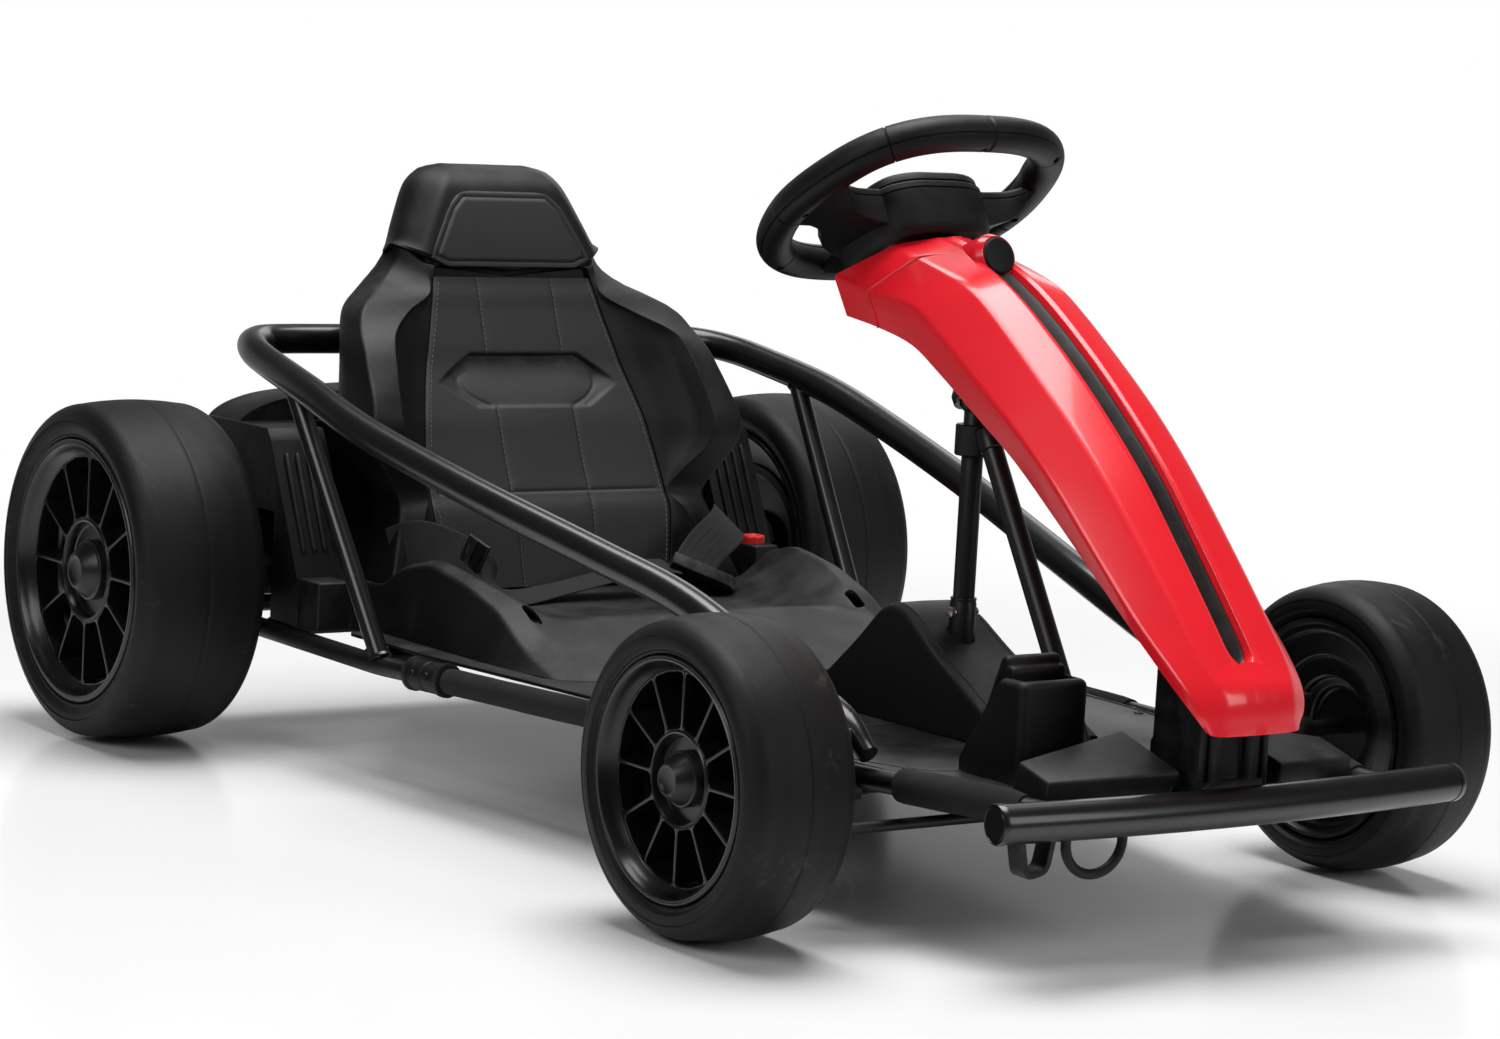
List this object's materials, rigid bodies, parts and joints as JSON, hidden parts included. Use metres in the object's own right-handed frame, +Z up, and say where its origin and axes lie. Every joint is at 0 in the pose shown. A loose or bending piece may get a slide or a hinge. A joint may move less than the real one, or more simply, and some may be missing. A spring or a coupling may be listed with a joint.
{
  "type": "electric go-kart",
  "caption": "Low ride-on electric go-kart with a bucket seat, tube side hoop, steering wheel on a long nose cover, pedals and fat slick tyres.",
  "frame": {"origin": "on the ground, at the middle of the footprint of the whole kart", "axes": "the kart faces -Y, +X is the driver's left, +Z is up"},
  "size_m": [0.7752, 1.148, 0.5556],
  "materials": {
    "gloss_tube": "gloss black",
    "satin_tube": "satin black",
    "foam": "matte foam",
    "tyre": "smooth, dull",
    "rim": "gloss black",
    "black_plastic": "fine grain",
    "red_plastic": "high gloss",
    "seat_panel": "soft grain with pressed seams",
    "button_red": "satin",
    "webbing": "woven",
    "axle_steel": "bright",
    "battery_case": "grained"
  },
  "bodies": {
    "chassis": {"lower_frame": "satin_tube", "side_hoop": "gloss_tube", "strut_left": "gloss_tube", "strut_right": "gloss_tube", "bumper": "gloss_tube", "side_sleeve_left": "foam", "side_sleeve_right": "foam", "front_sleeve_left": "foam", "front_sleeve_right": "foam", "saddle_left": "black_plastic", "saddle_right": "black_plastic", "floor_pan": "black_plastic", "steering_cover": "black_plastic", "stay_tube": "gloss_tube", "column_bracket": "satin_tube", "nose_shell": "red_plastic", "nose_stripe": "black_plastic", "nose_cap": "black_plastic", "nose_post": "black_plastic", "wedge_cover_left": "black_plastic", "wedge_cover_right": "black_plastic", "pedal_housing_left": "black_plastic", "pedal_housing_right": "black_plastic", "under_strap": "black_plastic", "cable_loop": "black_plastic", "seat_shell": "black_plastic", "seat_back_panel": "seat_panel", "headrest_pad": "seat_panel", "seat_base": "black_plastic", "rear_fairing": "black_plastic", "belt_right": "webbing", "belt_left": "webbing", "belt_buckle": "black_plastic", "rear_axle": "axle_steel", "gearbox_left": "black_plastic", "gearbox_right": "black_plastic", "battery": "battery_case"},
    "steering_wheel": {"steering_wheel": "black_plastic", "wheel_hub_pad": "black_plastic", "wheel_collar": "black_plastic", "upper_shaft": "gloss_tube"},
    "column": {"steering_column": "gloss_tube"},
    "knuckle_left": {"knuckle_left": "satin_tube"},
    "knuckle_right": {"knuckle_right": "satin_tube"},
    "tie_bar": {"tie_bar": "satin_tube"},
    "wheel_front_left": {"tyre_front_left": "tyre", "rim_front_left": "rim", "hub_cap_front_left": "black_plastic"},
    "wheel_front_right": {"tyre_front_right": "tyre", "rim_front_right": "rim", "hub_cap_front_right": "black_plastic"},
    "wheel_rear_left": {"tyre_rear_left": "tyre", "rim_rear_left": "rim", "hub_cap_rear_left": "black_plastic"},
    "wheel_rear_right": {"tyre_rear_right": "tyre", "rim_rear_right": "rim", "hub_cap_rear_right": "black_plastic"},
    "pedal_left": {"pedal_left": "black_plastic"},
    "pedal_right": {"pedal_right": "black_plastic"},
    "button": {"red_button": "button_red"}
  },
  "joints": [
    {"name": "steering", "type": "hinge", "parent": "chassis", "child": "steering_wheel", "pos_m": [0, -0.15655, 0.48906], "axis": [0, 0.5446, 0.8387], "range_deg": [-38, 38]},
    {"name": "column_turn", "type": "hinge", "parent": "chassis", "child": "column", "pos_m": [0, -0.2475, 0.349], "axis": [0, 0, 1], "range_deg": [-38.2, 38.2]},
    {"name": "knuckle_left_turn", "type": "hinge", "parent": "chassis", "child": "knuckle_left", "pos_m": [0.225, -0.3605, 0.11], "axis": [0, 0, 1], "range_deg": [-24.8, 24.8]},
    {"name": "knuckle_right_turn", "type": "hinge", "parent": "chassis", "child": "knuckle_right", "pos_m": [-0.225, -0.3605, 0.11], "axis": [0, 0, 1], "range_deg": [-24.8, 24.8]},
    {"name": "tie_bar_pivot", "type": "hinge", "parent": "knuckle_left", "child": "tie_bar", "pos_m": [0.225, -0.4055, 0.077], "axis": [0, 0, 1], "range_deg": [-24.8, 24.8]},
    {"name": "wheel_front_left_spin", "type": "hinge", "parent": "knuckle_left", "child": "wheel_front_left", "pos_m": [0.2982, -0.3605, 0.11], "axis": [1, 0, 0], "continuous": true},
    {"name": "wheel_front_right_spin", "type": "hinge", "parent": "knuckle_right", "child": "wheel_front_right", "pos_m": [-0.2982, -0.3605, 0.11], "axis": [1, 0, 0], "continuous": true},
    {"name": "wheel_rear_left_spin", "type": "hinge", "parent": "chassis", "child": "wheel_rear_left", "pos_m": [0.3311, 0.434, 0.14], "axis": [1, 0, 0], "continuous": true},
    {"name": "wheel_rear_right_spin", "type": "hinge", "parent": "chassis", "child": "wheel_rear_right", "pos_m": [-0.3311, 0.434, 0.14], "axis": [1, 0, 0], "continuous": true},
    {"name": "pedal_left_press", "type": "hinge", "parent": "chassis", "child": "pedal_left", "pos_m": [0.088, -0.399, 0.1165], "axis": [1, 0, 0], "range_deg": [0, 10], "stiffness_Nm_per_rad": 1.2, "springref_deg": -8.59},
    {"name": "pedal_right_press", "type": "hinge", "parent": "chassis", "child": "pedal_right", "pos_m": [-0.088, -0.399, 0.1165], "axis": [1, 0, 0], "range_deg": [0, 10], "stiffness_Nm_per_rad": 1.2, "springref_deg": -8.59},
    {"name": "button_press", "type": "slide", "parent": "chassis", "child": "button", "axis": [0, 0, -1], "range_m": [0, 0.003], "stiffness_N_per_m": 300, "springref_m": -0.001}
  ],
  "couplings": [
    {"joint": "column_turn", "follows": "steering", "ratio": 1},
    {"joint": "knuckle_left_turn", "follows": "steering", "ratio": 0.65},
    {"joint": "knuckle_right_turn", "follows": "steering", "ratio": 0.65},
    {"joint": "tie_bar_pivot", "follows": "steering", "ratio": -0.65}
  ]
}
